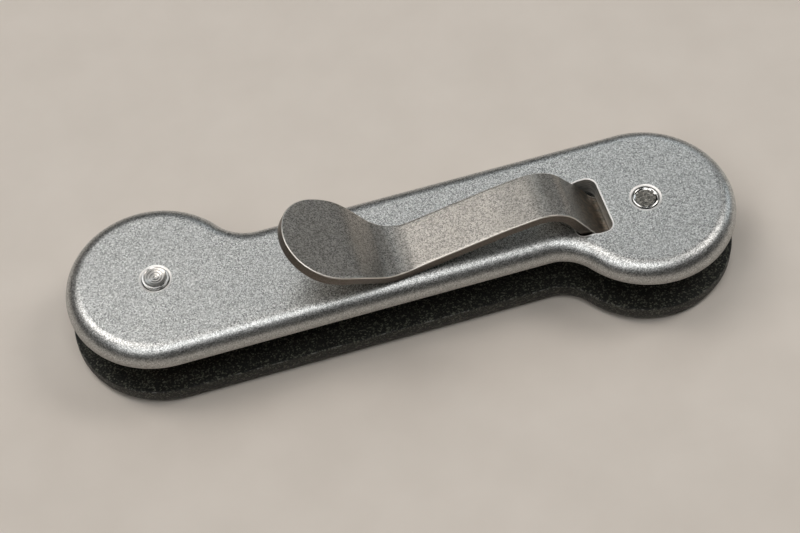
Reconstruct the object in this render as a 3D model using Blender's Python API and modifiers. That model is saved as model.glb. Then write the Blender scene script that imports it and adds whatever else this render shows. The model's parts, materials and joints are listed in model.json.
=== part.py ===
"""Key organiser: two plates on two posts, with a spring pocket clip.

Metres, +Z up. The bar lies on its back plate, with its length along X. The origin is
the middle of the back plate's outer face. Run it with Blender 4.5.
"""
import math

import bmesh
import bpy
from mathutils import Matrix, Vector

MM = 0.001
PLACES = (("left", -1), ("right", 1))

# Outline, the same for both plates: a bar with a round lobe at each end, one bulging
# to each side, so that half a turn about Z maps the outline onto itself.
LOBE_X = 30.0 * MM
LOBE_RADIUS = 11.2 * MM
BAR_HALF_WIDTH = 7.6 * MM
LOBE_Y = LOBE_RADIUS - BAR_HALF_WIDTH
FILLET_RADIUS = 5.35 * MM
LOBE_STEPS = 40
FILLET_STEPS = 7

# Heights, from the table up.
BACK_THICKNESS = 3.0 * MM
KEY_SPACE = 5.4 * MM
FRONT_THICKNESS = 2.6 * MM
BACK_TOP = BACK_THICKNESS
FRONT_BOTTOM = BACK_TOP + KEY_SPACE
FRONT_TOP = FRONT_BOTTOM + FRONT_THICKNESS
FRONT_EDGE_RADIUS = 2.25 * MM
BACK_EDGE_RADIUS = 1.7 * MM
EDGE_SEGMENTS = 4

# Clearances. The bar is only 11 mm thick, so faces that touch keep a tenth of a millimetre.
FACE_GAP = 0.1 * MM
RUNNING_GAP = 0.1 * MM

# Posts, and the washers on them.
POST_RADIUS = 2.5 * MM
SCREW_RADIUS = 1.65 * MM
POST_BORE_RADIUS = SCREW_RADIUS + RUNNING_GAP
WASHER_RADIUS = 4.5 * MM
WASHER_THICKNESS = 0.8 * MM
WASHER_COUNT = {"left": 6, "right": 4}
ROUND_STEPS = 40

# Screws: a low head in a counterbore in the back plate, and a tip that shows in front.
HEAD_RADIUS = 3.5 * MM
HEAD_BOTTOM = 0.2 * MM
HEAD_THICKNESS = 1.2 * MM
HEAD_EDGE = 0.3 * MM
HEAD_TOP = HEAD_BOTTOM + HEAD_THICKNESS
SOCKET_SIDES = 6
SOCKET_RADIUS = 1.45 * MM
SOCKET_DEPTH = 0.7 * MM
TIP_CHAMFER = 0.25 * MM
TIP_HEIGHT = {"left": FRONT_TOP + 0.5 * MM, "right": FRONT_TOP + 0.05 * MM}
HEAD_WASHER_RADIUS = 3.3 * MM
HEAD_WASHER_THICKNESS = 0.3 * MM
HEAD_WASHER_BOTTOM = HEAD_TOP + FACE_GAP
COUNTERBORE_RADIUS = 3.8 * MM
COUNTERBORE_TOP = HEAD_WASHER_BOTTOM + HEAD_WASHER_THICKNESS + FACE_GAP
HOLE_CHAMFER = 0.2 * MM

# Clip: one bent strip. Its frame has X along the strip, with the paddle at -X, and Z
# measured from the front plate's outer face. Corners are those of its upper surface.
CLIP_Y = -2.43 * MM
CLIP_YAW = math.radians(-1.0)
CLIP_THICKNESS = 1.3 * MM
CLIP_HALF_WIDTH = 3.32 * MM
CLIP_FOOT_GAP = 0.15 * MM
CLIP_TOP_OF_FOOT = -FRONT_THICKNESS - CLIP_FOOT_GAP
CLIP_CORNERS = (
    # x, z, bend radius
    (-14.72 * MM, 9.85 * MM, 0.0),
    (-7.25 * MM, 6.10 * MM, 10.0 * MM),
    (-2.15 * MM, 0.88 * MM, 4.9 * MM),
    (11.60 * MM, 4.47 * MM, 30.0 * MM),
    (18.30 * MM, 5.68 * MM, 5.2 * MM),
    (24.30 * MM, CLIP_TOP_OF_FOOT, 1.2 * MM),
    (26.50 * MM, CLIP_TOP_OF_FOOT, 0.0),
)
BEND_STEPS = 8
PADDLE_HALF_WIDTH = 5.97 * MM
PADDLE_TIP_LENGTH = 5.0 * MM
PADDLE_RUN_OUT = 2.0 * MM
TIP_STEPS = 12
PADDLE_FULL_END = -8.4 * MM
TAPER_END = 1.2 * MM
TAPER_SHARPNESS = 1.15
TAPER_STEPS = 10
FLARE = 0.4 * MM
FLARE_START = 19.0 * MM
FLARE_END = 23.2 * MM
FLARE_STEPS = 4
ARM_END = 25.35 * MM
# The corner starts past the flare, or the outline would fold back on itself.
ARM_CORNER = 2.0 * MM

# The strip bends where it leaves its foot, so the arm turns there and the tang stays.
SPLIT_GAP = 0.3 * MM
HINGE_X = ARM_END + SPLIT_GAP / 2
HINGE_Z = CLIP_TOP_OF_FOOT - CLIP_THICKNESS / 2
TANG_HALF_WIDTH = 2.9 * MM
TANG_EYE_RADIUS = 4.5 * MM

# Slot in the front plate for the clip: narrow where the arm leaves, wide at the foot.
# Its right wall stays clear of the foot's bend while the arm is raised.
SLOT_Y = -2.75 * MM
SLOT_LEFT = 20.3 * MM
SLOT_RIGHT = 24.9 * MM
SLOT_HALF_WIDTH = 4.07 * MM
SLOT_NECK_HALF_WIDTH = 3.93 * MM
SLOT_NECK_END = 22.2 * MM
SLOT_SHOULDER = 23.0 * MM
SLOT_CORNER = 1.2 * MM
SLOT_NECK_CORNER = 0.9 * MM
CORNER_STEPS = 6

OVERSHOOT = 1.0 * MM
WELD_DISTANCE = 1e-6
FLAT_ANGLE = math.radians(0.2)
SHARP_ANGLE = math.radians(35)


def clear_scene():
    for thing in list(bpy.data.objects):
        bpy.data.objects.remove(thing, do_unlink=True)


def make_collection(name):
    group = bpy.data.collections.new(name)
    bpy.context.scene.collection.children.link(group)
    return group


def make_material(name, colour, metallic, roughness):
    material = bpy.data.materials.new(name)
    material.use_nodes = True
    shader = material.node_tree.nodes["Principled BSDF"]
    shader.inputs["Base Color"].default_value = (*colour, 1.0)
    shader.inputs["Metallic"].default_value = metallic
    shader.inputs["Roughness"].default_value = roughness
    return material


clear_scene()
PARTS = make_collection("key_organiser")
CUTTERS = make_collection("cutters")
ALUMINIUM = make_material("tumbled_aluminium", (0.62, 0.63, 0.62), 1.0, 0.45)
LAMINATE = make_material("black_laminate", (0.018, 0.021, 0.020), 0.0, 0.6)
SPRING_METAL = make_material("tumbled_spring_metal", (0.36, 0.34, 0.31), 1.0, 0.4)
STEEL = make_material("polished_steel", (0.74, 0.73, 0.71), 1.0, 0.2)
COPPER = make_material("copper", (0.80, 0.45, 0.30), 1.0, 0.3)


# ---- modelling helpers ----

def arc(centre, radius, start, end, steps):
    """Points on an arc, both ends included; angles in radians, either way round."""
    points = []
    for step in range(steps + 1):
        angle = start + (end - start) * step / steps
        points.append((centre[0] + radius * math.cos(angle), centre[1] + radius * math.sin(angle)))
    return points


def as_mesh(guide, merge_flats):
    """A mesh object in place of a filled curve, with its caps welded on."""
    depsgraph = bpy.context.evaluated_depsgraph_get()
    mesh = bpy.data.meshes.new_from_object(guide.evaluated_get(depsgraph))
    edit = bmesh.new()
    edit.from_mesh(mesh)
    bmesh.ops.remove_doubles(edit, verts=edit.verts, dist=WELD_DISTANCE)
    if merge_flats:
        bmesh.ops.dissolve_limit(edit, angle_limit=FLAT_ANGLE, verts=edit.verts, edges=edit.edges)
    bmesh.ops.recalc_face_normals(edit, faces=edit.faces)
    edit.to_mesh(mesh)
    edit.free()
    name = guide.name
    matrix = guide.matrix_world.copy()
    bpy.data.objects.remove(guide, do_unlink=True)
    solid = bpy.data.objects.new(name, mesh)
    solid.matrix_world = matrix
    return solid


def flat_solid(name, outlines, bottom, top, group=PARTS, merge_flats=False, turn=None):
    """A flat piece from its outline and any hole outlines, between two heights."""
    curve = bpy.data.curves.new(name, "CURVE")
    curve.dimensions = "2D"
    curve.fill_mode = "BOTH"
    curve.extrude = (top - bottom) / 2
    for outline in outlines:
        spline = curve.splines.new("POLY")
        spline.points.add(len(outline) - 1)
        for point, (x, y) in zip(spline.points, outline):
            point.co = (x, y, 0.0, 1.0)
        spline.use_cyclic_u = True
    guide = bpy.data.objects.new(name, curve)
    place = Matrix.Translation((0.0, 0.0, (top + bottom) / 2))
    guide.matrix_world = place if turn is None else turn @ place
    group.objects.link(guide)
    bpy.context.view_layer.update()
    solid = as_mesh(guide, merge_flats)
    group.objects.link(solid)
    return solid


def turned_solid(name, profile, closed, group=PARTS):
    """A turned piece about its own Z. The profile runs down the outer side."""
    edges = [(i, i + 1) for i in range(len(profile) - 1)]
    if closed:
        edges.append((len(profile) - 1, 0))
    mesh = bpy.data.meshes.new(name)
    mesh.from_pydata([(radius, 0.0, z) for radius, z in profile], edges, [])
    solid = bpy.data.objects.new(name, mesh)
    group.objects.link(solid)
    screw = solid.modifiers.new("turn", "SCREW")
    screw.steps = ROUND_STEPS
    screw.render_steps = ROUND_STEPS
    screw.use_merge_vertices = True
    screw.merge_threshold = WELD_DISTANCE
    return solid


def ring(name, outer, inner, bottom, top):
    """A washer or a tube."""
    profile = ((inner, top), (outer, top), (outer, bottom), (inner, bottom))
    return turned_solid(name, profile, closed=True)


def as_cutter(solid):
    solid.hide_render = True
    solid.display_type = "WIRE"
    return solid


def combine(solid, other, operation):
    modifier = solid.modifiers.new(operation.lower(), "BOOLEAN")
    modifier.operation = operation
    modifier.solver = "EXACT"
    modifier.object = other


def round_rim(solid, height, radius):
    """Rounds the outer rim of a plate that lies at one height in its own mesh."""
    mesh = solid.data
    weights = mesh.attributes.new("bevel_weight_edge", "FLOAT", "EDGE")
    for edge in mesh.edges:
        ends = [mesh.vertices[i].co.z for i in edge.vertices]
        if max(abs(z - height) for z in ends) < WELD_DISTANCE:
            weights.data[edge.index].value = 1.0
    bevel = solid.modifiers.new("rim", "BEVEL")
    bevel.limit_method = "WEIGHT"
    bevel.width = radius
    bevel.segments = EDGE_SEGMENTS
    bevel.use_clamp_overlap = False


def finish(solid, material):
    """Gives a piece its material, and smooth shading up to the sharp edges."""
    solid.data.materials.append(material)
    solid.data.shade_smooth()
    solid.data.set_sharp_from_angle(angle=SHARP_ANGLE)


def post_place(side):
    return Vector((side * LOBE_X, -side * LOBE_Y, 0.0))


# ---- plates ----

def bar_outline():
    """The plates' outline, anticlockwise: half of it, then the same turned half round."""
    reach = LOBE_RADIUS + FILLET_RADIUS
    rise = BAR_HALF_WIDTH + FILLET_RADIUS - LOBE_Y
    run = math.sqrt(reach ** 2 - rise ** 2)
    angle = math.atan2(rise, run)
    fillet_centre = (run - LOBE_X, BAR_HALF_WIDTH + FILLET_RADIUS)
    fillet = arc(fillet_centre, FILLET_RADIUS, 1.5 * math.pi, math.pi + angle, FILLET_STEPS)
    lobe = arc((-LOBE_X, LOBE_Y), LOBE_RADIUS, angle, 1.5 * math.pi, LOBE_STEPS)
    half = fillet + lobe[1:]
    return half + [(-x, -y) for x, y in half]


def slot_outline():
    """The clip's slot, anticlockwise from its far right corner."""
    far = []
    corner = (SLOT_RIGHT - SLOT_CORNER, SLOT_HALF_WIDTH - SLOT_CORNER)
    far += arc(corner, SLOT_CORNER, 0.0, 0.5 * math.pi, CORNER_STEPS)
    far += [(SLOT_SHOULDER, SLOT_HALF_WIDTH), (SLOT_NECK_END, SLOT_NECK_HALF_WIDTH)]
    corner = (SLOT_LEFT + SLOT_NECK_CORNER, SLOT_NECK_HALF_WIDTH - SLOT_NECK_CORNER)
    far += arc(corner, SLOT_NECK_CORNER, 0.5 * math.pi, math.pi, CORNER_STEPS)
    near = [(x, -y) for x, y in reversed(far)]
    return [(x, y + SLOT_Y) for x, y in far + near]


def make_front_plate():
    plate = flat_solid("front_plate", [bar_outline()], FRONT_BOTTOM, FRONT_TOP, merge_flats=True)
    round_rim(plate, FRONT_THICKNESS / 2, FRONT_EDGE_RADIUS)
    slot = flat_solid("slot_cutter", [slot_outline()], FRONT_BOTTOM - OVERSHOOT,
                      FRONT_TOP + OVERSHOOT, group=CUTTERS)
    combine(plate, as_cutter(slot), "DIFFERENCE")
    bore = POST_BORE_RADIUS
    profile = (
        (0.0, FRONT_TOP + OVERSHOOT), (bore + HOLE_CHAMFER + OVERSHOOT, FRONT_TOP + OVERSHOOT),
        (bore, FRONT_TOP - HOLE_CHAMFER), (bore, FRONT_BOTTOM - OVERSHOOT),
        (0.0, FRONT_BOTTOM - OVERSHOOT),
    )
    for word, side in PLACES:
        cutter = turned_solid(word + "_front_hole_cutter", profile, closed=False, group=CUTTERS)
        cutter.location = post_place(side)
        combine(plate, as_cutter(cutter), "DIFFERENCE")
    finish(plate, ALUMINIUM)


def make_back_plate():
    plate = flat_solid("back_plate", [bar_outline()], 0.0, BACK_TOP, merge_flats=True)
    round_rim(plate, -BACK_THICKNESS / 2, BACK_EDGE_RADIUS)
    profile = (
        (0.0, BACK_TOP + OVERSHOOT), (POST_BORE_RADIUS, BACK_TOP + OVERSHOOT),
        (POST_BORE_RADIUS, COUNTERBORE_TOP), (COUNTERBORE_RADIUS, COUNTERBORE_TOP),
        (COUNTERBORE_RADIUS, -OVERSHOOT), (0.0, -OVERSHOOT),
    )
    for word, side in PLACES:
        cutter = turned_solid(word + "_back_hole_cutter", profile, closed=False, group=CUTTERS)
        cutter.location = post_place(side)
        combine(plate, as_cutter(cutter), "DIFFERENCE")
    finish(plate, LAMINATE)


# ---- posts, washers and screws ----

def make_post(word, side):
    post = ring(word + "_post", POST_RADIUS, POST_BORE_RADIUS, BACK_TOP + FACE_GAP,
                FRONT_BOTTOM - FACE_GAP)
    post.location = post_place(side)
    finish(post, STEEL)


def make_washers(word, side):
    """Spacer washers, spread evenly over the part of the key space that is free."""
    top = FRONT_BOTTOM
    if side > 0:
        top += FRONT_THICKNESS + CLIP_TOP_OF_FOOT - CLIP_THICKNESS
    count = WASHER_COUNT[word]
    gap = (top - BACK_TOP - count * WASHER_THICKNESS) / (count + 1)
    for number in range(count):
        bottom = BACK_TOP + gap + number * (WASHER_THICKNESS + gap)
        name = "{}_spacer_washer_{}".format(word, number + 1)
        washer = ring(name, WASHER_RADIUS, POST_RADIUS + RUNNING_GAP, 0.0, WASHER_THICKNESS)
        washer.location = post_place(side) + Vector((0.0, 0.0, bottom))
        finish(washer, COPPER)


def make_screw(word, side):
    """A screw, and the thin washer under its head, which lies above it in the counterbore."""
    tip = TIP_HEIGHT[word]
    profile = (
        (0.0, tip), (SCREW_RADIUS - TIP_CHAMFER, tip), (SCREW_RADIUS, tip - TIP_CHAMFER),
        (SCREW_RADIUS, HEAD_TOP), (HEAD_RADIUS, HEAD_TOP),
        (HEAD_RADIUS, HEAD_BOTTOM + HEAD_EDGE), (HEAD_RADIUS - HEAD_EDGE, HEAD_BOTTOM),
        (0.0, HEAD_BOTTOM),
    )
    screw = turned_solid(word + "_screw", profile, closed=False)
    screw.location = post_place(side)
    bpy.ops.mesh.primitive_cylinder_add(vertices=SOCKET_SIDES, radius=SOCKET_RADIUS,
                                        depth=2 * SOCKET_DEPTH)
    socket = bpy.context.object
    socket.name = word + "_socket_cutter"
    socket.location = post_place(side) + Vector((0.0, 0.0, HEAD_BOTTOM))
    for group in list(socket.users_collection):
        group.objects.unlink(socket)
    CUTTERS.objects.link(socket)
    combine(screw, as_cutter(socket), "DIFFERENCE")
    finish(screw, STEEL)
    washer = ring(word + "_head_washer", HEAD_WASHER_RADIUS, POST_BORE_RADIUS, 0.0,
                  HEAD_WASHER_THICKNESS)
    washer.location = post_place(side) + Vector((0.0, 0.0, HEAD_WASHER_BOTTOM))
    finish(washer, STEEL)


# ---- clip ----

def clip_path():
    """Points of the strip's upper surface with the direction there, bends as true arcs."""
    points = []
    corners = [Vector((x, z)) for x, z, _ in CLIP_CORNERS]
    points.append((corners[0], (corners[1] - corners[0]).normalized()))
    for index in range(1, len(corners) - 1):
        before = (corners[index] - corners[index - 1]).normalized()
        after = (corners[index + 1] - corners[index]).normalized()
        radius = CLIP_CORNERS[index][2]
        bend = before.angle_signed(after)
        side = 1.0 if before.cross(after) > 0 else -1.0
        tangent = radius * math.tan(abs(bend) / 2)
        start = corners[index] - before * tangent
        centre = start + side * radius * Vector((-before.y, before.x))
        for step in range(BEND_STEPS + 1):
            turn = side * abs(bend) * step / BEND_STEPS
            spoke = Matrix.Rotation(turn, 2) @ (start - centre)
            points.append((centre + spoke, Matrix.Rotation(turn, 2) @ before))
    points.append((corners[-1], (corners[-1] - corners[-2]).normalized()))
    return points


def strip_section():
    """The strip seen from its side, a closed outline in X and Z, longer than the paddle."""
    upper = []
    lower = []
    for point, way in clip_path():
        normal = Vector((-way.y, way.x))
        if point.x < ARM_END:
            upper.append(tuple(point))
        below = point - normal * CLIP_THICKNESS
        if below.x < ARM_END:
            lower.append(tuple(below))
    for side in (upper, lower):
        run_out = (Vector(side[0]) - Vector(side[1])).normalized() * PADDLE_RUN_OUT
        side.insert(0, tuple(Vector(side[0]) + run_out))
    upper.append((ARM_END, CLIP_TOP_OF_FOOT))
    lower.append((ARM_END, CLIP_TOP_OF_FOOT - CLIP_THICKNESS))
    return lower + upper[::-1]


def smooth_step(value):
    value = min(max(value, 0.0), 1.0)
    return value * value * (3.0 - 2.0 * value)


def arm_half_width(x):
    taper = smooth_step((x - PADDLE_FULL_END) / (TAPER_END - PADDLE_FULL_END)) ** TAPER_SHARPNESS
    flare = FLARE * smooth_step((x - FLARE_START) / (FLARE_END - FLARE_START))
    return PADDLE_HALF_WIDTH + (CLIP_HALF_WIDTH - PADDLE_HALF_WIDTH) * taper + flare


def arm_outline():
    """The arm from above: round paddle, taper, parallel arm, and a flare in the slot."""
    tip_x = CLIP_CORNERS[0][0]
    tip = []
    for x, y in arc((0.0, 0.0), 1.0, math.pi, 0.5 * math.pi, TIP_STEPS):
        tip.append((tip_x + (x + 1.0) * PADDLE_TIP_LENGTH, y * PADDLE_HALF_WIDTH))
    body = []
    for start, end, steps in ((PADDLE_FULL_END, TAPER_END, TAPER_STEPS),
                              (FLARE_START, FLARE_END, FLARE_STEPS)):
        for step in range(steps + 1):
            x = start + (end - start) * step / steps
            body.append((x, arm_half_width(x)))
    corner = (ARM_END - ARM_CORNER, arm_half_width(FLARE_END) - ARM_CORNER)
    foot = arc(corner, ARM_CORNER, 0.5 * math.pi, 0.0, CORNER_STEPS)
    far = tip + body + foot
    near = [(x, -y) for x, y in reversed(far[1:])]
    return near + far


def make_clip():
    frame = Matrix.Translation((0.0, CLIP_Y, FRONT_TOP)) @ Matrix.Rotation(CLIP_YAW, 4, "Z")
    hinge = bpy.data.objects.new("clip_hinge", None)
    hinge.matrix_world = frame @ Matrix.Translation((HINGE_X, 0.0, HINGE_Z))
    PARTS.objects.link(hinge)
    bpy.context.view_layer.update()

    # The strip's side section, swept across the clip, cut to the outline seen from above.
    upright = Matrix.Rotation(0.5 * math.pi, 4, "X")
    reach = PADDLE_HALF_WIDTH + OVERSHOOT
    arm = flat_solid("clip_arm", [strip_section()], -reach, reach, turn=frame @ upright)
    plan = flat_solid("clip_plan_cutter", [arm_outline()], -FRONT_TOP,
                      2 * FRONT_TOP, group=CUTTERS, turn=frame)
    combine(arm, as_cutter(plan), "INTERSECT")
    place = arm.matrix_world.copy()
    arm.parent = hinge
    arm.matrix_parent_inverse = hinge.matrix_world.inverted()
    arm.matrix_world = place
    finish(arm, SPRING_METAL)

    # The tang runs on under the front plate, and its eye sits on the right post.
    post = post_place(1)
    neck_x = ARM_END + SPLIT_GAP
    neck_y = CLIP_Y + neck_x * math.sin(CLIP_YAW)
    outline = [(neck_x, neck_y + TANG_HALF_WIDTH), (neck_x, neck_y - TANG_HALF_WIDTH)]
    outline += arc((post.x, post.y), TANG_EYE_RADIUS, -0.5 * math.pi, 0.5 * math.pi,
                   ROUND_STEPS // 2)
    eye = arc((post.x, post.y), POST_RADIUS + RUNNING_GAP, 0.0, 2.0 * math.pi, ROUND_STEPS)[:-1]
    top = FRONT_TOP + CLIP_TOP_OF_FOOT
    tang = flat_solid("clip_tang", [outline, eye], top - CLIP_THICKNESS, top)
    finish(tang, SPRING_METAL)


make_front_plate()
make_back_plate()
for place_word, place_side in PLACES:
    make_post(place_word, place_side)
    make_washers(place_word, place_side)
    make_screw(place_word, place_side)
make_clip()
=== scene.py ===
"""Looks for the key organiser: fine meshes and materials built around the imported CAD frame.

Metres, +Z up, in the frame's own axes. Run it with Blender 4.5.
"""
import json
import math

import bpy
import numpy as np
from mathutils import Matrix, Vector

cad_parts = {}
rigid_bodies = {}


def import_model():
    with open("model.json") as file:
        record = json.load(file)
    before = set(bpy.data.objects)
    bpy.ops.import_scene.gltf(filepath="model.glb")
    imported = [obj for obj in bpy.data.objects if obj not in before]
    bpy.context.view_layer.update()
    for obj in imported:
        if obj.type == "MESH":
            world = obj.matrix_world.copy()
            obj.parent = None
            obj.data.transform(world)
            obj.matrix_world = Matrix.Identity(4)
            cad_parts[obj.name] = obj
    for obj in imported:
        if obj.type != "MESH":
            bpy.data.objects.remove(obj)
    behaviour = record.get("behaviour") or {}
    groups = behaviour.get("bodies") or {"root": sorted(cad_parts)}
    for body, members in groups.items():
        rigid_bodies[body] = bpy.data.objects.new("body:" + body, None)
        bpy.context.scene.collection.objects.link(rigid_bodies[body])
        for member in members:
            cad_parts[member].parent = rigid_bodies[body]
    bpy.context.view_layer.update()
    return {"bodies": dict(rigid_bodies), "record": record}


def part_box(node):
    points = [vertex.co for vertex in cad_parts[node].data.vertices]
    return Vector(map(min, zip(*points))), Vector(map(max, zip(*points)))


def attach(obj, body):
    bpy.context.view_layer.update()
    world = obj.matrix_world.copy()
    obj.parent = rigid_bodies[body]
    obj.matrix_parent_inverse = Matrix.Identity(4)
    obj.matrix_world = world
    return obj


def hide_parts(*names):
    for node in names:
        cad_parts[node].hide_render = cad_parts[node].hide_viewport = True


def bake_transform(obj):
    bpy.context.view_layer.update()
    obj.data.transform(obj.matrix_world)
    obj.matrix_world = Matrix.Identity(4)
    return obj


MM = 0.001
UP = Vector((0.0, 0.0, 1.0))

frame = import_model()

# ---- places and sizes read from the frame ----

JOINTS = {joint["name"]: joint for joint in frame["record"]["behaviour"]["joints"]}
POSTS = {word: Vector(JOINTS[word + "_screw_turn"]["pos_m"]) for word in ("left", "right")}
FRONT_LOW, FRONT_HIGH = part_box("front_plate")
BACK_LOW, BACK_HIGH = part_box("back_plate")
LOBE_X = POSTS["right"].x
LOBE_Y = -POSTS["right"].y
LOBE_RADIUS = FRONT_HIGH.x - LOBE_X
BAR_HALF_WIDTH = LOBE_RADIUS - LOBE_Y

HINGE = Vector(JOINTS["clip_flex"]["pos_m"])
CLIP_ACROSS = Vector(JOINTS["clip_flex"]["axis"]).normalized()
CLIP_ALONG = CLIP_ACROSS.cross(UP)
HINGE_X = 25.5 * MM  # from the clip's origin to its hinge, along the clip
CLIP_ORIGIN = HINGE - CLIP_ALONG * HINGE_X
CLIP_ORIGIN.z = FRONT_HIGH.z

# ---- the shape's own sizes ----

FILLET_RADIUS = 5.35 * MM
LOBE_STEPS = 96
FILLET_STEPS = 20
FRONT_EDGE_RADIUS = 2.25 * MM
BACK_EDGE_RADIUS = 1.7 * MM
SMALL_EDGE = 0.16 * MM
RIM_STEPS = 14
SMALL_EDGE_STEPS = 4

SLOT_Y = -2.75 * MM
SLOT_LEFT = 20.3 * MM
SLOT_RIGHT = 24.9 * MM
SLOT_HALF_WIDTH = 4.07 * MM
SLOT_NECK_HALF_WIDTH = 3.93 * MM
SLOT_NECK_END = 22.2 * MM
SLOT_SHOULDER = 23.0 * MM
SLOT_CORNER = 1.2 * MM
SLOT_NECK_CORNER = 0.9 * MM
SLOT_EDGE_WIDTH = 0.2 * MM
SLOT_EDGE_DEPTH = 0.08 * MM
CORNER_STEPS = 12
MILL_STEP = 0.36 * MM
MILL_DEPTH = 0.03 * MM

THREAD_PITCH = 0.6 * MM
THREAD_DEPTH = 0.17 * MM
THREAD_SLOPE = 2.2
THREAD_FLAT = 0.1
SCREW_RADIUS = 1.64 * MM
THREAD_TURN_STEPS = 72
THREAD_RISE_STEPS = 8
TAP_CLEARANCE = 0.09 * MM
THREAD_START = 0.375
FLOOR_RINGS = 24
HOLE_CHAMFER_RADIUS = 2.03 * MM
HOLE_CHAMFER_DEPTH = 0.09 * MM
HOLE_SINK_DEPTH = 0.35 * MM
HOLE_LIP_WIDTH = 0.08 * MM
HOLE_LIP_DEPTH = 0.05 * MM
BORE_RADIUS = 1.75 * MM

WASHER_BORE_RADIUS = 2.6 * MM
WASHER_EDGE = 0.12 * MM
HEAD_WASHER_EDGE = 0.05 * MM
HEAD_RADIUS = 3.5 * MM
HEAD_THICKNESS = 1.2 * MM
HEAD_LOW_EDGE = 0.3 * MM
HEAD_TOP_EDGE = 0.1 * MM
THREAD_BELOW_PLATE = 0.6 * MM
THREAD_RUNOUT = 0.3 * MM
THREAD_OVERLAP = 0.5 * MM
SOCKET_RADIUS = 1.45 * MM
SOCKET_DEPTH = 0.7 * MM
SOCKET_CHAMFER = 0.12 * MM
SOCKET_OVERSHOOT = 0.05 * MM
SOCKET_TILT = math.radians(30)
COUNTERBORE_RADIUS = 3.8 * MM
COUNTERBORE_GAP = 0.1 * MM
TURN_STEPS = 96

CLIP_THICKNESS = 1.3 * MM
CLIP_HALF_WIDTH = 3.32 * MM
PADDLE_HALF_WIDTH = 5.97 * MM
PADDLE_TIP_LENGTH = 5.65 * MM
PADDLE_TAPER = (6.0 * MM, 18.6 * MM)
CLIP_FLARE = 0.4 * MM
CLIP_FLARE_X = (19.0 * MM, 23.2 * MM)
CLIP_FOOT_DROP = 0.15 * MM
CLIP_NECK_HALF_WIDTH = 2.9 * MM
CLIP_NECK_X = (23.4 * MM, 26.0 * MM)
CLIP_EYE_RADIUS = 4.5 * MM
CLIP_EYE_BLEND = 0.6 * MM
CLIP_EDGE = 0.14 * MM
CLIP_EDGE_STEPS = 4
CLIP_ROWS = 200
CLIP_COLUMNS = 22
CLIP_END_STEPS = 24
BEND_STEPS = 40
DIRECTION_REACH = 0.12 * MM
CLIP_FOOT_Z = FRONT_LOW.z - FRONT_HIGH.z - CLIP_FOOT_DROP
CLIP_CORNERS = (
    # x, z of the upper surface, bend radius; the paddle first
    (-14.72 * MM, 9.85 * MM, 0.0),
    (-7.25 * MM, 6.10 * MM, 10.0 * MM),
    (-2.15 * MM, 0.88 * MM, 4.9 * MM),
    (11.60 * MM, 4.47 * MM, 30.0 * MM),
    (18.30 * MM, 5.68 * MM, 5.2 * MM),
    (24.30 * MM, CLIP_FOOT_Z, 1.2 * MM),
    (36.00 * MM, CLIP_FOOT_Z, 0.0),
)

OVERSHOOT = 1.0 * MM
WELD_DISTANCE = 1e-7
SHARP_ANGLE = math.radians(32)


# ---- node helpers ----

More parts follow.
